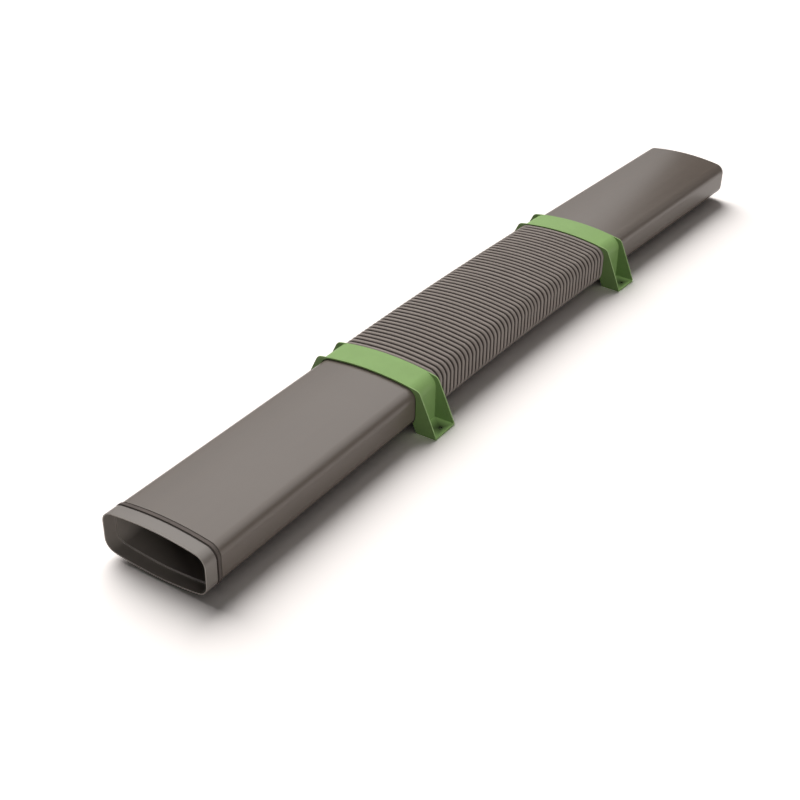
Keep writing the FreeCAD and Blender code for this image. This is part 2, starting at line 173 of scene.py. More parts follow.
class FlexibleSizes(PropertyGroup):
    """The corrugated flexible length and its cuffs"""
    rib_count: IntProperty(name="Ribs", description="Number of ribs", default=50, min=4)
    rib_height: FloatProperty(
        name="Rib height", description="Height of a rib above its groove", default=0.004, unit="LENGTH")
    rib_share: FloatProperty(
        name="Rib share", description="Share of the spacing that a rib's foot takes up",
        default=0.66, min=0.3, max=0.95)
    rib_fullness: FloatProperty(
        name="Rib fullness", description="How square the rounded ribs are", default=2.2, min=1.5, max=6)
    tight_rib: IntProperty(
        name="Tight rib", description="The rib round which the length is squeezed a little", default=27, min=0)
    tight_share: FloatProperty(
        name="Tightness", description="How much closer the ribs stand there, and wider after it",
        default=0.11, min=0, max=0.3)
    unevenness: FloatProperty(
        name="Unevenness", description="How far the spacing of the pulled-out ribs varies",
        default=0.015, min=0, max=0.3)
    wall: FloatProperty(
        name="Wall", description="Wall of the flexible length", default=0.0015, unit="LENGTH")
    clearance: FloatProperty(
        name="Clearance", description="Gap between a cuff and the duct inside it",
        default=FIT_CLEARANCE, unit="LENGTH")
    cuff_length: FloatProperty(
        name="Cuff length", description="Length of the smooth cuff at each end",
        default=0.062, unit="LENGTH")
    cuff_overlap: FloatProperty(
        name="Cuff overlap", description="How far a cuff reaches over its duct",
        default=0.052, unit="LENGTH")
    rib_steps: IntProperty(name="Rib steps", description="Mesh steps over one rib", default=8, min=4)
    bore_steps: IntProperty(
        name="Bore steps", description="Mesh steps over one rib on the inside", default=4, min=2)


class BracketSizes(PropertyGroup):
    """The moulded saddle brackets"""
    edge_radius: FloatProperty(
        name="Edge radius", description="Rounding of the moulded edges", default=0.0008, unit="LENGTH")
    edge_steps: IntProperty(name="Edge steps", description="Mesh steps round an edge", default=3, min=1)
    # Rims narrower than this get a painted highlight.
    rim_width: FloatProperty(
        name="Rim width", description="Faces narrower than this are rims, which handling rubs lighter",
        default=0.0022, unit="LENGTH")
    setback: FloatProperty(
        name="Setback", description="From the ribs to the middle of a bracket", default=0.035, unit="LENGTH")
    screw_across: FloatProperty(
        name="Screw across", description="From the middle of a bracket to a screw hole",
        default=0.146, unit="LENGTH")
    screw_along: FloatProperty(
        name="Screw along", description="How far behind the middle the screw holes lie",
        default=0.005, unit="LENGTH")
    screw_radius: FloatProperty(
        name="Screw radius", description="Radius of the screw holes", default=0.0035, unit="LENGTH")


class FinishColours(PropertyGroup):
    """The colours of the five plastics and rubbers, with the painted shade between the ribs and the painted
    highlight on the bracket rims
    """
    duct: FloatVectorProperty(
        name="Duct", description="Warm grey of the rigid lengths", subtype="COLOR", size=4,
        min=0, max=1, default=(0.116, 0.094, 0.078, 1))
    collar: FloatVectorProperty(
        name="Collar", description="Lighter grey of the moulded collar", subtype="COLOR", size=4,
        min=0, max=1, default=(0.166, 0.145, 0.128, 1))
    flexible: FloatVectorProperty(
        name="Flexible length", description="Warm grey of the ribs", subtype="COLOR", size=4,
        min=0, max=1, default=(0.258, 0.220, 0.196, 1))
    # Painted shade between the ribs.
    groove_shade: FloatVectorProperty(
        name="Groove shade", description="Darker tone that settles between the ribs", subtype="COLOR", size=4,
        min=0, max=1, default=(0.036, 0.028, 0.024, 1))
    seal: FloatVectorProperty(
        name="Seal", description="Brown-black of the rubber", subtype="COLOR", size=4,
        min=0, max=1, default=(0.075, 0.060, 0.052, 1))
    bracket: FloatVectorProperty(
        name="Bracket", description="Green of the saddle brackets", subtype="COLOR", size=4,
        min=0, max=1, default=(0.166, 0.263, 0.091, 1))
    # Painted highlight on the bracket rims.
    bracket_rim_highlight: FloatVectorProperty(
        name="Bracket rim highlight", description="Paler green of the rubbed rims", subtype="COLOR", size=4,
        min=0, max=1, default=(0.245, 0.350, 0.150, 1))


class StageSettings(PropertyGroup):
    """Floor, soft light, studio and camera"""
    key_strength: FloatProperty(
        name="Key light", description="Strength of the soft key light", default=3.6, min=0)
    key_softness: FloatProperty(
        name="Key softness", description="Width of the key light as seen from the duct",
        default=math.radians(52), subtype="ANGLE")
    key_heading: FloatProperty(
        name="Key heading", description="Where the key light stands, turned from the duct's length",
        default=math.radians(60), subtype="ANGLE")
    key_elevation: FloatProperty(
        name="Key height", description="How high the key light stands",
        default=math.radians(44), subtype="ANGLE")
    front_strength: FloatProperty(
        name="Front light", description="Strength of the low light from the front", default=1.3, min=0)
    front_softness: FloatProperty(
        name="Front softness", description="Width of the front light as seen from the duct",
        default=math.radians(20), subtype="ANGLE")
    front_heading: FloatProperty(
        name="Front heading", description="Where the front light stands, turned from the duct's length",
        default=math.radians(250), subtype="ANGLE")
    front_elevation: FloatProperty(
        name="Front height", description="How high the front light stands",
        default=math.radians(14), subtype="ANGLE")
    top_strength: FloatProperty(
        name="Top light", description="Strength of the light from above on the brackets", default=1.4, min=0)
    top_softness: FloatProperty(
        name="Top softness", description="Width of the top light as seen from the duct",
        default=math.radians(12), subtype="ANGLE")
    top_heading: FloatProperty(
        name="Top heading", description="Where the top light stands, turned from the duct's length",
        default=math.radians(-90), subtype="ANGLE")
    top_elevation: FloatProperty(
        name="Top height", description="How high the top light stands",
        default=math.radians(80), subtype="ANGLE")
    fill_strength: FloatProperty(
        name="Fill", description="Strength of the even light from all round", default=0.065, min=0)
    wall_gloss: FloatProperty(
        name="Wall gloss", description="How bright the pale wall's foot shows in reflections",
        default=0.3, min=0)
    pale_gloss: FloatProperty(
        name="Pale gloss", description="How bright the pale wall's top shows in reflections",
        default=2.7, min=0)
    dark_gloss: FloatProperty(
        name="Dark gloss", description="How bright the dark side of the studio shows in reflections",
        default=0.10, min=0)
    ceiling_gloss: FloatProperty(
        name="Ceiling gloss", description="How bright the ceiling over the dark side shows in reflections",
        default=2.8, min=0)
    dark_heading: FloatProperty(
        name="Dark side", description="Where the dark side starts, turned from the duct's length",
        default=math.radians(18), subtype="ANGLE")
    dark_blur: FloatProperty(
        name="Dark side's blur", description="How softly the dark side starts",
        default=math.radians(4), subtype="ANGLE")
    flag_heading: FloatProperty(
        name="Flag heading", description="Where the dark flag stands, turned from the duct's length",
        default=math.radians(-5), subtype="ANGLE")
    flag_distance: FloatProperty(
        name="Flag distance", description="How far off the dark flag stands", default=2.2, unit="LENGTH")
    flag_width: FloatProperty(
        name="Flag width", description="Width of the dark flag", default=1.4, unit="LENGTH")
    flag_height: FloatProperty(
        name="Flag height", description="Height of the dark flag", default=1.5, unit="LENGTH")
    flag_colour: FloatVectorProperty(
        name="Flag colour", description="Tone of the dark flag", subtype="COLOR", size=4,
        min=0, max=1, default=(0.03, 0.028, 0.026, 1))
    floor: FloatVectorProperty(
        name="Floor", description="Colour by which the floor lights the object", subtype="COLOR", size=4,
        min=0, max=1, default=(0.80, 0.78, 0.76, 1))
    floor_seen: FloatVectorProperty(
        name="Floor seen", description="Colour that the camera and reflections see", subtype="COLOR", size=4,
        min=0, max=2, default=(1.37, 1.30, 1.26, 1))
    floor_size: FloatProperty(
        name="Floor size", description="Side of the square floor", default=30, unit="LENGTH")
    camera_place: FloatVectorProperty(
        name="Camera", description="Where the camera stands", subtype="TRANSLATION", size=3,
        default=(-2.18271, -1.22234, 1.4045))
    camera_heading: FloatProperty(
        name="Heading", description="Which way the camera looks, turned from the duct's length",
        default=0.578, subtype="ANGLE")
    camera_pitch: FloatProperty(
        name="Pitch", description="How far the camera looks down", default=0.565, subtype="ANGLE")
    camera_roll: FloatProperty(
        name="Roll", description="How far the camera is tilted sideways", default=0.017, subtype="ANGLE")
    camera_lens: FloatProperty(
        name="Lens", description=f"Focal length on a {SENSOR_WIDTH} mm sensor", default=58.59, min=1)


def channel_ring(channel, growth):
    """(across, height, travel) points once round the channel profile, grown by a distance."""
    half = channel.width / 2
    crown = (half ** 2 + channel.crown_rise ** 2) / (2 * channel.crown_rise)
    drop = crown - channel.height / 2
    side = half - channel.corner_radius
    lift = math.sqrt((crown - channel.corner_radius) ** 2 - side ** 2)
    turn = math.atan2(lift, side)
    high = lift - drop
    corner = channel.corner_radius + growth
    reach = side + corner

    def arc(across, height, radius, start, end, steps):
        angles = [start + (end - start) * step / steps for step in range(steps)]
        return [(across + radius * math.cos(a), height + radius * math.sin(a)) for a in angles]

    def line(start, end, steps):
        return [(start[0], start[1] + (end[1] - start[1]) * step / steps) for step in range(steps)]

    tau = 2 * math.pi
    places = line((reach, -high), (reach, high), channel.side_steps)
    places += arc(side, high, corner, 0, turn, channel.corner_steps)
    places += arc(0, -drop, crown + growth, turn, math.pi - turn, channel.crown_steps)
    places += arc(-side, high, corner, math.pi - turn, math.pi, channel.corner_steps)
    places += line((-reach, high), (-reach, -high), channel.side_steps)
    places += arc(-side, -high, corner, math.pi, math.pi + turn, channel.corner_steps)
    places += arc(0, drop, crown + growth, math.pi + turn, tau - turn, channel.crown_steps)
    places += arc(side, -high, corner, tau - turn, tau, channel.corner_steps)
    ring, travel = [], 0.0
    for place, following in zip(places, places[1:] + places[:1]):
        ring.append((*place, travel))
        travel += math.dist(place, following)
    return ring, travel


def section_place(channel, distance):
    """(middle, direction to the left) of the cross-section at a distance behind the collar's lip."""
    along = min(max(distance - channel.bend_start, 0.0), channel.bend_length)
    beyond = distance - channel.bend_start - along
    angle = channel.bend_angle * along / channel.bend_length
    radius = channel.bend_length / channel.bend_angle
    middle = Vector((channel.bend_start + radius * math.sin(angle), radius * (math.cos(angle) - 1), 0))
    middle += beyond * Vector((math.cos(angle), -math.sin(angle), 0))
    lip = Vector((COLLAR_LOW.x, (COLLAR_LOW.y + COLLAR_HIGH.y) / 2, (COLLAR_LOW.z + COLLAR_HIGH.z) / 2))
    return lip + middle, Vector((math.sin(angle), math.cos(angle), 0))


def rounded_outline(corners, radius):
    """A closed (distance, growth) outline with rounded corners, and how much each of its points is lightened:
    rubbed on the duct ends, a painted highlight on the collar's lip.
    """
    steps = 4
    most = 0.45  # the share of a side that one rounding may take up
    # A rim is lightened all over: rubbed on the duct ends, a painted highlight on the collar's lip.
    thin = 4 * radius  # a side shorter than this is a rim, worn all over
    outline, lightening = [], []
    for index, place in enumerate(corners):
        place = Vector(place)
        before = Vector(corners[index - 1]) - place
        after = Vector(corners[(index + 1) % len(corners)]) - place
        reach = min(radius / math.tan(before.angle(after) / 2), most * before.length, most * after.length)
        start = place + before.normalized() * reach
        end = place + after.normalized() * reach
        for step in range(steps + 1):
            share = step / steps
            point = start * (1 - share) ** 2 + 2 * place * share * (1 - share) + end * share ** 2
            outline.append(tuple(point))
            lightening.append(1.0)
        lightening[-steps - 1] = float(before.length < thin)
        lightening[-1] = float(after.length < thin)
    return outline, lightening


def finish_mesh(name, build):
    """An object in the scene, made from a bmesh."""
    mesh = bpy.data.meshes.new(name)
    build.to_mesh(mesh)
    build.free()
    piece = bpy.data.objects.new(name, mesh)
    bpy.context.scene.collection.objects.link(piece)
    return piece


def wrap_outline(name, channel, outline, mask_name, mask):
    """A mesh object made by carrying a closed (distance, growth) outline round the channel profile."""
    if len(outline) < 3 or len(outline) != len(mask):
        raise RuntimeError(name + ": the outline needs three points or more, each with its mask value")
    build = bmesh.new()
    surface = build.loops.layers.uv.new(SURFACE_MAP)
    layer = build.verts.layers.float.new(mask_name)
    rings, travels = [], []
    for (distance, growth), value in zip(outline, mask):
        middle, left = section_place(channel, distance)
        ring, round_trip = channel_ring(channel, growth)
        verts = [build.verts.new(middle - left * across + Vector((0, 0, height))) for across, height, _ in ring]
        for vert in verts:
            vert[layer] = value
        rings.append(verts)
        travels.append([travel for *_, travel in ring] + [round_trip])
    lengths = [0.0]
    for place, following in zip(outline, outline[1:] + outline[:1]):
        lengths.append(lengths[-1] + math.dist(place, following))
    for index, ring in enumerate(rings):
        following = rings[(index + 1) % len(rings)]
        for step in range(len(ring)):
            ahead = (step + 1) % len(ring)
            face = build.faces.new((ring[step], ring[ahead], following[ahead], following[step]))
            face.smooth = True
            places = ((step, index), (step + 1, index), (step + 1, index + 1), (step, index + 1))
            for loop, (travel_index, length_index) in zip(face.loops, places):
                loop[surface].uv = (travels[0][travel_index], lengths[length_index])
    bmesh.ops.recalc_face_normals(build, faces=build.faces)
    return finish_mesh(name, build)


def dress(piece, node, material):
    """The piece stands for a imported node, rides on the part and takes its finish."""
    piece.data.materials.clear()
    piece.data.materials.append(material)
    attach(piece, "root")
    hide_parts(node)


def even_normals(piece):
    """Shading that keeps the broad faces flat and the narrow roundings soft."""
    modifier = piece.modifiers.new("Even normals", "WEIGHTED_NORMAL")
    modifier.keep_sharp = True
    modifier.weight = 90


def lay_surface_map(build):
    """A box-projected surface map in metres on a bmesh."""
    surface = build.loops.layers.uv.new(SURFACE_MAP)
    for face in build.faces:
        normal = face.normal
        axis = max(range(3), key=lambda a: abs(normal[a]))
        for loop in face.loops:
            place = loop.vert.co
            loop[surface].uv = [place[a] for a in range(3) if a != axis]


def clear_tree(owner):
    """The node tree of a material or a world, emptied."""
    owner.use_nodes = True
    owner.node_tree.nodes.clear()
    return owner.node_tree


def add_node(tree, kind, inputs=None, **settings):
    """A node with its settings, and its inputs linked or set."""
    node = tree.nodes.new(kind)
    for setting, value in settings.items():
        setattr(node, setting, value)
    for socket, value in (inputs or {}).items():
        if isinstance(value, bpy.types.NodeSocket):
            tree.links.new(value, node.inputs[socket])
        else:
            node.inputs[socket].default_value = value
    return node


def calculate(tree, operation, *values):
    """The result of one operation on numbers or sockets."""
    return add_node(tree, "ShaderNodeMath", dict(enumerate(values)), operation=operation).outputs["Value"]


def noise(tree, place, scale, detail, roughness):
    """A noise value at a place."""
    return add_node(tree, "ShaderNodeTexNoise", {
        "Vector": place, "Scale": scale, "Detail": detail, "Roughness": roughness}).outputs["Fac"]


def spread(tree, value, low, high, start=0.0, end=1.0, smooth=False):
    """A value that goes from start to end, turned into one that goes from low to high."""
    return add_node(tree, "ShaderNodeMapRange", {
        "Value": value, "From Min": start, "From Max": end, "To Min": low, "To Max": high},
        interpolation_type="SMOOTHSTEP" if smooth else "LINEAR").outputs["Result"]


def mix_colour(tree, share, first, second):
    """A colour mixed from two, each a colour or a socket."""
    inputs = dict(zip(MIX_COLOURS, (share, first, second)))
    return add_node(tree, "ShaderNodeMix", inputs, data_type="RGBA").outputs[MIXED_COLOUR]


def mix_value(tree, share, first, second):
    """A number mixed from two, each a number or a socket."""
    inputs = dict(zip(MIX_VALUES, (share, first, second)))
    return add_node(tree, "ShaderNodeMix", inputs, data_type="FLOAT").outputs[MIXED_VALUE]


def scaled(colour, share):
    """A colour made lighter or darker by a share."""
    return (colour[0] * share, colour[1] * share, colour[2] * share, 1)


def new_group(name, inputs, outputs):
    """An empty shader group with what it is given, a vector where no number is, and its results."""
    group = bpy.data.node_groups.new(name, "ShaderNodeTree")
    for label, value in inputs.items():
        kind = "NodeSocketVector" if value is None else "NodeSocketFloat"
        socket = group.interface.new_socket(label, in_out="INPUT", socket_type=kind)
        if value is not None:
            socket.default_value = value
    for label in outputs:
        group.interface.new_socket(label, in_out="OUTPUT", socket_type="NodeSocketFloat")
    return group, group.nodes.new("NodeGroupInput").outputs, group.nodes.new("NodeGroupOutput")


def set_results(group, end, results):
    """Link a group's results to its output node."""
    for label, value in results.items():
        group.links.new(value, end.inputs[label])


def mould_grain_group():
    """Fine spark-eroded grain and slow tone changes, as on moulded plastic."""
    name = "Mould Grain"
    if name in bpy.data.node_groups:
        return bpy.data.node_groups[name]
    group, given, end = new_group(
        name, {"Place": None, "Grain": 900.0, "Patch": 14.0}, ("Height", "Tone", "Sheen"))
    fine = noise(group, given["Place"], given["Grain"], detail=3.0, roughness=0.55)
    slow = noise(group, given["Place"], given["Patch"], detail=4.0, roughness=0.6)
    middle = noise(group, given["Place"], scale=90.0, detail=2.0, roughness=0.5)
    set_results(group, end, {
        "Height": fine, "Tone": spread(group, slow, 0.0, 1.0, *NOISE_RANGE),
        "Sheen": calculate(group, "MULTIPLY", fine, middle)})
    return group


def draw_lines_group():
    """Faint lines along the length, as the extruder leaves them."""
    name = "Draw Lines"
    if name in bpy.data.node_groups:
        return bpy.data.node_groups[name]
    group, given, end = new_group(
        name, {"Surface": None, "Lines": 420.0, "Length": 1.5}, ("Height", "Tone"))
    stretch = add_node(group, "ShaderNodeCombineXYZ", {"X": given["Lines"], "Y": given["Length"], "Z": 1.0})
    place = add_node(group, "ShaderNodeVectorMath", {
        0: given["Surface"], 1: stretch.outputs["Vector"]}, operation="MULTIPLY").outputs["Vector"]
    broad_place = add_node(group, "ShaderNodeVectorMath", {0: place, "Scale": 0.07},
                           operation="SCALE").outputs["Vector"]
    broad = noise(group, broad_place, scale=1.0, detail=2.0, roughness=0.5)
    set_results(group, end, {
        "Height": noise(group, place, scale=1.0, detail=2.0, roughness=0.5),
        "Tone": spread(group, broad, 0.0, 1.0, *NOISE_RANGE)})
    return group


def edge_wear_and_light_group():
    """A mask of edges, broken up by noise: rubbed by handling on the duct ends, a painted highlight on the
    collar's lip and the brackets' rims, and the seal's ridge kept clear of the painted shade in its gaps.
    """
    name = "Edge Rub"
    if name in bpy.data.node_groups:
        return bpy.data.node_groups[name]
    group, given, end = new_group(name, {"Place": None, "Edge": 0.0, "Unworn": 0.5}, ("Rub",))
    broken = noise(group, given["Place"], scale=160.0, detail=3.0, roughness=0.6)
    share = spread(group, broken, given["Unworn"], 1.0, start=0.3, end=0.65)
    set_results(group, end, {"Rub": calculate(group, "MULTIPLY", given["Edge"], share)})
    return group


def place_group(tree, group, inputs):
    """The results of a shader group placed in a material with its own values."""
    return add_node(tree, "ShaderNodeGroup", inputs, node_tree=group).outputs


def read_mask(tree, name):
    """A mask that a piece carries on its mesh."""
    return add_node(tree, "ShaderNodeAttribute", attribute_name=name).outputs["Fac"]


def rub_and_light_share(tree, place, least_share):
    """How much rubbing and painted light each place of a piece gets, from the mask on its mesh."""
    inputs = {"Place": place, "Edge": read_mask(tree, WEAR_AND_LIGHT_MASK), "Unworn": least_share}
    return place_group(tree, edge_wear_and_light_group(), inputs)["Rub"]


def new_material(name, roughness, specular):
    """A material with its shader and the places that its patterns follow."""
    material = bpy.data.materials.new(name)
    tree = clear_tree(material)
    shader = add_node(tree, "ShaderNodeBsdfPrincipled", {
        "Roughness": roughness, "Specular IOR Level": specular})
    add_node(tree, "ShaderNodeOutputMaterial", {"Surface": shader.outputs["BSDF"]})
    return material, tree, shader, add_node(tree, "ShaderNodeTexCoord").outputs["Object"]


def set_finish(tree, shader, colour, roughness, height, strength):
    """Link a shader's colour and roughness, and a bump of some strength for its fine relief."""
    bump = add_node(tree, "ShaderNodeBump", {
        "Height": height, "Strength": strength, "Distance": RELIEF_DEPTH})
    values = {"Base Color": colour, "Roughness": roughness, "Normal": bump.outputs["Normal"]}
    for socket, value in values.items():
        tree.links.new(value, shader.inputs[socket])


def duct_plastic(colour, name="Duct plastic", edge_brightness=1.3):
    """Extruded satin plastic: draw lines along the length, slow tone changes, rubbed edges, which on the
    collar's lip are a painted highlight.
    """
    material, tree, shader, place = new_material(name, roughness=0.33, specular=0.5)
    surface = add_node(tree, "ShaderNodeUVMap", uv_map=SURFACE_MAP).outputs["UV"]
    grain = place_group(tree, mould_grain_group(), {"Place": place, "Grain": 700.0, "Patch": 7.0})
    lines = place_group(tree, draw_lines_group(), {"Surface": surface, "Lines": 420.0, "Length": 1.5})
    toned = mix_colour(tree, grain["Tone"], scaled(colour, 0.95), scaled(colour, 1.05))
    lined = mix_colour(tree, lines["Tone"], toned, scaled(colour, 1.03))
    # Edges rubbed lighter, and on the collar's lip a painted highlight.
    lightened = mix_colour(tree, rub_and_light_share(tree, place, least_share=0.6), lined, scaled(colour, edge_brightness))
    height = calculate(tree, "MULTIPLY_ADD", lines["Height"], 0.6, grain["Height"])
    set_finish(tree, shader, lightened, spread(tree, lines["Tone"], 0.30, 0.36), height, strength=0.12)
    return material


def flexible_plastic(colour, groove_shade_colour):
    """Blown satin plastic with painted shade between the ribs, duller there as well."""
    material, tree, shader, place = new_material("Flexible plastic", roughness=0.5, specular=0.3)
    grain = place_group(tree, mould_grain_group(), {"Place": place, "Grain": 600.0, "Patch": 16.0})
    deep = spread(tree, read_mask(tree, GROOVE_MASK), 0.0, 1.0, start=0.25, end=0.75, smooth=True)
    toned = mix_colour(tree, grain["Tone"], scaled(colour, 0.93), scaled(colour, 1.06))
    # Painted shade deep between the ribs.
    shaded = mix_colour(tree, deep, toned, groove_shade_colour)
    set_finish(tree, shader, shaded, spread(tree, deep, 0.5, 0.7), grain["Height"], strength=0.15)
    return material


def seal_rubber(colour):
    """Dull rubber with fine pores and a little dust, with painted shade in the gaps beside its ridge."""
    material, tree, shader, place = new_material("Seal rubber", roughness=0.6, specular=0.35)
    grain = place_group(tree, mould_grain_group(), {"Place": place, "Grain": 1400.0, "Patch": 30.0})
    toned = mix_colour(tree, grain["Tone"], scaled(colour, 0.85), scaled(colour, 1.2))
    # The gaps beside the seal's ridge get painted shade, at half its colour.
    rubbed = mix_colour(tree, rub_and_light_share(tree, place, least_share=0.85), scaled(colour, 0.5), toned)
    set_finish(tree, shader, rubbed, spread(tree, grain["Sheen"], 0.5, 0.75), grain["Height"], strength=0.3)
    return material


def bracket_plastic(colour, rim_highlight_colour):
    """Moulded satin green, with a painted highlight on its rims and painted shade in its screw holes."""
    material, tree, shader, place = new_material("Bracket plastic", roughness=0.5, specular=0.2)
    grain = place_group(tree, mould_grain_group(), {"Place": place, "Grain": 900.0, "Patch": 18.0})
    toned = mix_colour(tree, grain["Tone"], scaled(colour, 0.95), scaled(colour, 1.05))
    # A painted highlight on the rims, and painted shade in the screw holes.
    lightened = mix_colour(tree, rub_and_light_share(tree, place, least_share=0.5), toned, rim_highlight_colour)
    hole_shaded = mix_colour(tree, read_mask(tree, SHADE_MASK), lightened, scaled(colour, 0.12))
    set_finish(tree, shader, hole_shaded, spread(tree, grain["Sheen"], 0.42, 0.58), grain["Height"], strength=0.15)
    return material


def rib_starts(flexible):
    """The share of the ribbed length at which each rib starts, uneven as the pull leaves them."""
    chance = random.Random(7)
    tight_reach, loose_reach, loose_after = 1.6, 1.2, 3  # in ribs
    widths = []
    for rib in range(flexible.rib_count):
        place = rib - flexible.tight_rib
        squeezed = math.exp(-(place / tight_reach) ** 2)
        pulled = math.exp(-((place - loose_after) / loose_reach) ** 2)
        uneven = chance.uniform(-1, 1) * flexible.unevenness
        widths.append(1 + uneven + flexible.tight_share * (pulled - squeezed))
    starts, total = [0.0], sum(widths)
    for width in widths:
        starts.append(starts[-1] + width / total)
    return starts


def rib_waves(channel, flexible, steps, growth):
    """(distance, growth, depth) along the ribs: a rounded rise over each foot, level grooves between."""
    starts = rib_starts(flexible)
    places = [(channel.bend_start, growth, 1.0)]
    for low, high in zip(starts, starts[1:]):
        for step in range(steps + 1):
            turn = math.pi * step / steps
            across = abs(math.cos(turn)) ** (2 / flexible.rib_fullness)
            share = 0.5 - math.copysign(across, math.cos(turn)) * flexible.rib_share / 2
            rise = math.sin(turn)
            distance = channel.bend_start + (low + share * (high - low)) * channel.bend_length
            places.append((distance, growth + flexible.rib_height * rise, 1 - rise))
    places.append((channel.bend_start + channel.bend_length, growth, 1.0))
    return places


def flexible_outline(channel, flexible):
    """The flexible length's closed outline, and how deep in a groove each of its points lies."""
    root = flexible.clearance
    cuff = root + flexible.wall
    bore = root - flexible.wall
    start = channel.bend_start
    end = start + channel.bend_length
    front, rear = start - flexible.cuff_length, end + flexible.cuff_length
    front_stop, rear_stop = front + flexible.cuff_overlap, rear - flexible.cuff_overlap
    soft = CUFF_ROUNDING * flexible.wall
    places = [(front, cuff - soft, 0.0), (front + soft, cuff, 0.0), (start - soft, cuff, 0.0)]
    places += rib_waves(channel, flexible, flexible.rib_steps, root)
    places += [(end + soft, cuff, 0.0), (rear - soft, cuff, 0.0), (rear, cuff - soft, 0.0),
               (rear, root, 0.0), (rear_stop, root, 0.0), (rear_stop, bore, 0.0)]
    places += reversed(rib_waves(channel, flexible, flexible.bore_steps, bore))
    places += [(front_stop, bore, 0.0), (front_stop, root, 0.0), (front, root, 0.0)]
    return [(distance, growth) for distance, growth, _ in places], [depth for *_, depth in places]


class DUCT_OT_rigid_lengths(Operator):
    """Make the two extruded rigid lengths with softly rounded cut ends"""
    bl_idname = "duct.rigid_lengths"
    bl_label = "Rigid Lengths"

    def execute(self, context):
        channel = context.scene.duct_channel
        material = duct_plastic(tuple(context.scene.duct_colours.duct))
        lengths = (("front_duct", channel.front_start, channel.front_length),
                   ("rear_duct", channel.rear_start, channel.rear_length))
        for node, start, length in lengths:
            corners = [(start, 0.0), (start + length, 0.0),
                       (start + length, -channel.wall), (start, -channel.wall)]
            outline, lightening = rounded_outline(corners, channel.cut_edge)
            piece = wrap_outline(node + "_skin", channel, outline, WEAR_AND_LIGHT_MASK, lightening)
            even_normals(piece)
            dress(piece, node, material)
        return {"FINISHED"}


class DUCT_OT_socket_collar(Operator):
    """Make the moulded collar with its open socket and hidden spigot"""
    bl_idname = "duct.socket_collar"
    bl_label = "Socket Collar"

    def execute(self, context):
        channel, collar = context.scene.duct_channel, context.scene.duct_collar
        spigot_bore = -collar.spigot_face - collar.spigot_wall
        corners = [
            (0.0, collar.step), (collar.depth, collar.step), (collar.depth, -collar.spigot_face),
            (collar.spigot_end, -collar.spigot_face), (collar.spigot_end, spigot_bore),
            (collar.socket_depth, spigot_bore), (collar.socket_depth, collar.step - collar.wall),
            (0.0, collar.step - collar.wall)]
        outline, lightening = rounded_outline(corners, collar.lip_radius)
        # The collar's lip gets a painted highlight, weaker behind the lip.
        lip, lightening_behind = 2 * collar.lip_radius, 0.2
        lightening = [value if distance < lip else lightening_behind * value
                for (distance, _), value in zip(outline, lightening)]
        piece = wrap_outline("socket_collar_skin", channel, outline, WEAR_AND_LIGHT_MASK, lightening)
        even_normals(piece)
        material = duct_plastic(tuple(context.scene.duct_colours.collar), "Collar plastic", edge_brightness=1.9)
        dress(piece, "socket_collar", material)
        return {"FINISHED"}


class DUCT_OT_seal_ring(Operator):
    """Make the rubber ring with its rounded ridge"""
    bl_idname = "duct.seal_ring"
    bl_label = "Seal Ring"

    def execute(self, context):
        channel, collar = context.scene.duct_channel, context.scene.duct_collar
        start, end = collar.depth, collar.depth + collar.seal_width
        margin = (collar.seal_width - collar.seal_ridge) / 2
        bore = FIT_CLEARANCE - collar.spigot_face
        low, high = -collar.seal_gap, collar.seal_rise
        corners = [
            (start, low), (start + margin, low), (start + margin, high), (end - margin, high),
            (end - margin, low), (end, low), (end, bore), (start, bore)]
        outline, _ = rounded_outline(corners, collar.seal_rounding)
        # The ridge keeps the rubber's colour; the gaps beside it get painted shade.
        ridge = [max(0.0, (growth - low) / (high - low)) ** 2 for _, growth in outline]
        piece = wrap_outline("seal_ring_skin", channel, outline, WEAR_AND_LIGHT_MASK, ridge)
        even_normals(piece)
        dress(piece, "seal_ring", seal_rubber(tuple(context.scene.duct_colours.seal)))
        return {"FINISHED"}


class DUCT_OT_flexible_length(Operator):
    """Make the corrugated length, its thin wall following each rib inside and out"""
    bl_idname = "duct.flexible_length"
    bl_label = "Flexible Length"

    def execute(self, context):
        channel, flexible = context.scene.duct_channel, context.scene.duct_flexible
        outline, depths = flexible_outline(channel, flexible)
        piece = wrap_outline("flexible_duct_skin", channel, outline, GROOVE_MASK, depths)
        colours = context.scene.duct_colours
        material = flexible_plastic(tuple(colours.flexible), tuple(colours.groove_shade))
        dress(piece, "flexible_duct", material)
        return {"FINISHED"}


def round_edges(build, sizes):
    """Round a bracket's edges, and mark the rounded edges and narrow rims for a painted highlight."""
    sharp = [edge for edge in build.edges if edge.is_manifold and edge.calc_face_angle() > SHARP_ANGLE]
    if not sharp:
        raise RuntimeError("a bracket has no edges to round")
    made = bmesh.ops.bevel(build, geom=sharp, offset=sizes.edge_radius, offset_type="OFFSET", affect="EDGES",
                           segments=sizes.edge_steps, profile=0.5, clamp_overlap=True)
    rounded = set(made["faces"])
    layer = build.verts.layers.float.new(WEAR_AND_LIGHT_MASK)
    for vert in build.verts:
        broad = [face for face in vert.link_faces if face not in rounded
                 and 2 * face.calc_area() / face.calc_perimeter() > sizes.rim_width]
        vert[layer] = 0.0 if broad else 1.0


def shade_holes(build, sizes, middle, left):
    """Mark the walls of a bracket's two screw holes for painted shade, and take the painted highlight off them.
    """
    layer = build.verts.layers.float.new(SHADE_MASK)
    lightening = build.verts.layers.float[WEAR_AND_LIGHT_MASK]
    along = Vector((left.y, -left.x, 0)) * sizes.screw_along
    reach = sizes.screw_radius + HOLE_MARGIN * sizes.edge_radius
    for side in (-1, 1):
        centre = (middle + along + side * sizes.screw_across * left).to_2d()
        walls = [vert for vert in build.verts if (vert.co.to_2d() - centre).length < reach]
        if not walls:
            raise RuntimeError("a bracket has no screw hole in its place")
        for vert in walls:
            vert[layer], vert[lightening] = 1.0, 0.0


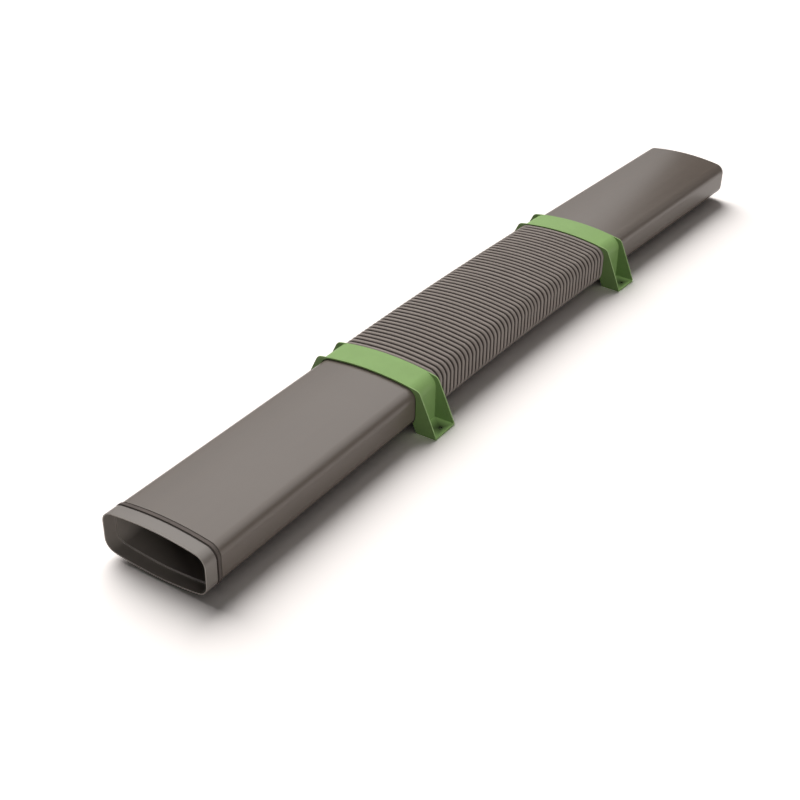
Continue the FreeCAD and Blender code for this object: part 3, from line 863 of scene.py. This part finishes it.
class DUCT_OT_brackets(Operator):
    """Make the two saddle brackets with the soft edges and rims of a moulding"""
    bl_idname = "duct.brackets"
    bl_label = "Saddle Brackets"

    def execute(self, context):
        channel, sizes = context.scene.duct_channel, context.scene.duct_bracket
        colours = context.scene.duct_colours
        material = bracket_plastic(tuple(colours.bracket), tuple(colours.bracket_rim_highlight))
        places = {"front_bracket": channel.bend_start - sizes.setback,
                  "rear_bracket": channel.bend_start + channel.bend_length + sizes.setback}
        for node, distance in places.items():
            build = bmesh.new()
            build.from_mesh(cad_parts[node].data)
            for layer in list(build.loops.layers.uv):
                build.loops.layers.uv.remove(layer)
            bmesh.ops.remove_doubles(build, verts=build.verts, dist=WELD_DISTANCE)
            bmesh.ops.dissolve_limit(build, angle_limit=FLAT_ANGLE, verts=build.verts, edges=build.edges)
            round_edges(build, sizes)
            shade_holes(build, sizes, *section_place(channel, distance))
            for face in build.faces:
                face.smooth = True
                face.material_index = 0
            lay_surface_map(build)
            piece = finish_mesh(node + "_skin", build)
            even_normals(piece)
            dress(piece, node, material)
        return {"FINISHED"}


def ray_mask(tree, *kinds):
    """One for rays of the given kinds, and nought for the rest."""
    path = add_node(tree, "ShaderNodeLightPath").outputs
    mask = path[kinds[0]]
    for kind in kinds[1:]:
        mask = calculate(tree, "MAXIMUM", mask, path[kind])
    return mask


def matt_material(name):
    """A matt material with its tree and the socket of its colour."""
    material = bpy.data.materials.new(name)
    tree = clear_tree(material)
    shader = add_node(tree, "ShaderNodeBsdfDiffuse")
    add_node(tree, "ShaderNodeOutputMaterial", {"Surface": shader.outputs["BSDF"]})
    return material, tree, shader.inputs["Color"]


def stage_face(name, corners, material):
    """A flat stage object with its material."""
    build = bmesh.new()
    build.faces.new([build.verts.new(corner) for corner in corners])
    piece = finish_mesh(name, build)
    piece.data.materials.append(material)
    return piece


def direction(heading, elevation):
    """The unit vector at a heading from the duct's length and an elevation from the floor."""
    return Vector((math.cos(heading) * math.cos(elevation), math.sin(heading) * math.cos(elevation),
                   math.sin(elevation)))


def make_floor(stage):
    """A square floor that looks white where the light is full."""
    material, tree, colour = matt_material("Floor")
    seen = ray_mask(tree, "Is Camera Ray", "Is Glossy Ray", "Is Transmission Ray")
    tree.links.new(mix_colour(tree, seen, tuple(stage.floor), tuple(stage.floor_seen)), colour)
    half = stage.floor_size / 2
    corners = ((-half, -half), (half, -half), (half, half), (-half, half))
    stage_face("floor", [(x, y, -FLOOR_DROP) for x, y in corners], material)


def make_flag(stage):
    """A dark upright flag behind the far end, seen in reflections only."""
    material, _, colour = matt_material("Flag")
    colour.default_value = tuple(stage.flag_colour)
    outward = direction(stage.flag_heading, 0)
    leftward = Vector((-outward.y, outward.x, 0))
    half, top = stage.flag_width / 2, stage.flag_height
    corners = [outward * stage.flag_distance + leftward * across + Vector((0, 0, height))
               for across, height in ((half, 0), (-half, 0), (-half, top), (half, top))]
    flag = stage_face("flag", corners, material)
    flag.visible_camera = flag.visible_diffuse = flag.visible_shadow = False


def make_world(stage):
    """White to the camera, a studio's walls and ceiling in reflections, a faint light to the rest."""
    world = bpy.data.worlds.new("Surroundings")
    tree = clear_tree(world)
    outward = add_node(tree, "ShaderNodeTexCoord").outputs["Generated"]
    parts = add_node(tree, "ShaderNodeSeparateXYZ", {"Vector": outward}).outputs
    pale = spread(tree, parts["Z"], stage.wall_gloss, stage.pale_gloss, *PALE_WALL)
    dark = spread(tree, parts["Z"], stage.dark_gloss, stage.ceiling_gloss, *DARK_WALL)
    heading = calculate(tree, "ARCTAN2", parts["Y"], parts["X"])
    side = spread(tree, heading, 0.0, 1.0, stage.dark_heading - stage.dark_blur,
                  stage.dark_heading + stage.dark_blur, smooth=True)
    gloss = mix_value(tree, side, dark, pale)
    lit = mix_value(tree, ray_mask(tree, "Is Glossy Ray", "Is Transmission Ray"), stage.fill_strength, gloss)
    seen = mix_value(tree, ray_mask(tree, "Is Camera Ray"), lit, 1.0)
    background = add_node(tree, "ShaderNodeBackground", {"Color": (1, 1, 1, 1), "Strength": seen})
    add_node(tree, "ShaderNodeOutputWorld", {"Surface": background.outputs["Background"]})
    return world


def make_lamp(stage, name, lit=()):
    """A soft lamp without a mirror image of its own, for everything or for the given pieces."""
    strength, softness, heading, elevation = (
        getattr(stage, f"{name}_{setting}") for setting in ("strength", "softness", "heading", "elevation"))
    light = bpy.data.lights.new(name, "SUN")
    light.energy = strength
    light.angle = softness
    lamp = bpy.data.objects.new(name, light)
    lamp.rotation_euler = direction(heading, elevation).to_track_quat("Z", "Y").to_euler()
    lamp.visible_glossy = False
    bpy.context.scene.collection.objects.link(lamp)
    if lit:
        receivers = bpy.data.collections.new("Lit by " + name)
        for piece in lit:
            receivers.objects.link(piece)
        lamp.light_linking.receiver_collection = receivers


def make_camera(stage):
    """The camera at the place and angle of the picture."""
    heading, pitch, roll = stage.camera_heading, stage.camera_pitch, stage.camera_roll
    forward = direction(heading, -pitch)
    level = Vector((math.sin(heading), -math.cos(heading), 0))
    upright = level.cross(forward)
    right = level * math.cos(roll) + upright * math.sin(roll)
    up = upright * math.cos(roll) - level * math.sin(roll)
    lens = bpy.data.cameras.new("camera")
    lens.sensor_width = SENSOR_WIDTH
    lens.lens = stage.camera_lens
    camera = bpy.data.objects.new("camera", lens)
    turn = Matrix((right, up, -forward)).transposed().to_4x4()
    camera.matrix_world = Matrix.Translation(Vector(stage.camera_place)) @ turn
    bpy.context.scene.collection.objects.link(camera)
    return camera


class DUCT_OT_stage(Operator):
    """Set the pale floor, the studio with its soft lamps, and the camera"""
    bl_idname = "duct.stage"
    bl_label = "Stage"

    def execute(self, context):
        scene, stage = context.scene, context.scene.duct_stage
        pieces = {node: bpy.data.objects[node + "_skin"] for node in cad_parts}
        make_floor(stage)
        make_flag(stage)
        make_lamp(stage, "key")
        make_lamp(stage, "front", pieces.values())
        make_lamp(stage, "top", (pieces["front_bracket"], pieces["rear_bracket"]))
        scene.world = make_world(stage)
        scene.camera = make_camera(stage)
        scene.view_settings.view_transform = "Standard"
        return {"FINISHED"}


class DUCT_PT_sidebar(Panel):
    """Lists the duct's pieces and their sizes"""
    bl_idname = "DUCT_PT_sidebar"
    bl_label = "Flat Channel Duct"
    bl_space_type = "VIEW_3D"
    bl_region_type = "UI"
    bl_category = "Duct"

    def draw(self, context):
        for name, group in GROUPS.items():
            box = self.layout.box()
            for setting in group.__annotations__:
                box.prop(getattr(context.scene, name), setting)
        for operator in OPERATORS:
            self.layout.operator(operator.bl_idname)


OPERATORS = (DUCT_OT_rigid_lengths, DUCT_OT_socket_collar, DUCT_OT_seal_ring, DUCT_OT_flexible_length,
             DUCT_OT_brackets, DUCT_OT_stage)
GROUPS = {"duct_channel": ChannelSizes, "duct_collar": CollarSizes, "duct_flexible": FlexibleSizes,
          "duct_bracket": BracketSizes, "duct_colours": FinishColours, "duct_stage": StageSettings}
CLASSES = (*GROUPS.values(), *OPERATORS, DUCT_PT_sidebar)


def register():
    """Add the property groups, operators and panel."""
    for kind in CLASSES:
        bpy.utils.register_class(kind)
    for name, group in GROUPS.items():
        setattr(bpy.types.Scene, name, PointerProperty(type=group))


def unregister():
    """Take the property groups, operators and panel away again."""
    for name in GROUPS:
        delattr(bpy.types.Scene, name)
    for kind in reversed(CLASSES):
        bpy.utils.unregister_class(kind)


def main():
    """Make every piece and the stage."""
    register()
    bpy.ops.duct.rigid_lengths()
    bpy.ops.duct.socket_collar()
    bpy.ops.duct.seal_ring()
    bpy.ops.duct.flexible_length()
    bpy.ops.duct.brackets()
    bpy.ops.duct.stage()


if __name__ == "__main__":
    main()
